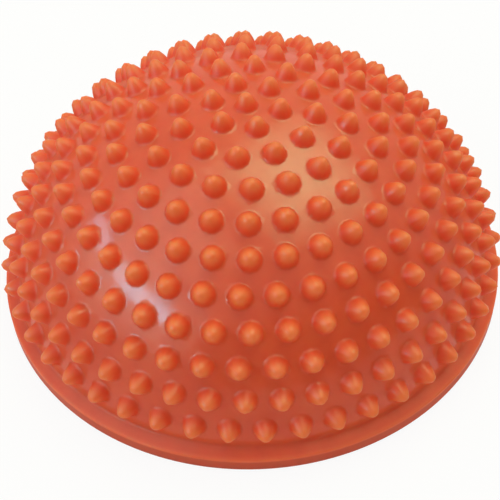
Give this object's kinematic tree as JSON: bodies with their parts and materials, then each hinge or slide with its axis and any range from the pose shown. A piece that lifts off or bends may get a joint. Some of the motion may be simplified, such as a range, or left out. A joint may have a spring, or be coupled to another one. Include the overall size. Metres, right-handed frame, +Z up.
{
  "type": "spiky half ball",
  "caption": "Air-filled half ball balance pod with a spiked soft dome, a flat ribbed base and a pull-out air valve stopper in a finger recess underneath.",
  "frame": {"origin": "on the floor, under the crown, at the middle of the base", "axes": "+Z up through the crown; the spikes lie in rings round this axis, and -Y is the side that the picture shows"},
  "size_m": [0.16, 0.16, 0.0692],
  "materials": {
    "dome_vinyl": "soft orange vinyl, satin gloss, slightly see-through",
    "base_vinyl": "soft orange vinyl, fine matt texture",
    "valve_rubber": "milky soft rubber, satin",
    "stopper_plastic": "milky plastic, satin"
  },
  "bodies": {
    "pod": {"spiked_dome": "dome_vinyl", "base_disc": "base_vinyl", "valve_sleeve": "valve_rubber"},
    "stopper": {"valve_stopper": "stopper_plastic"}
  },
  "joints": [
    {"name": "stopper_pull", "type": "slide", "parent": "pod", "child": "stopper", "axis": [0, 0, -1], "range_m": [0, 0.019]}
  ]
}
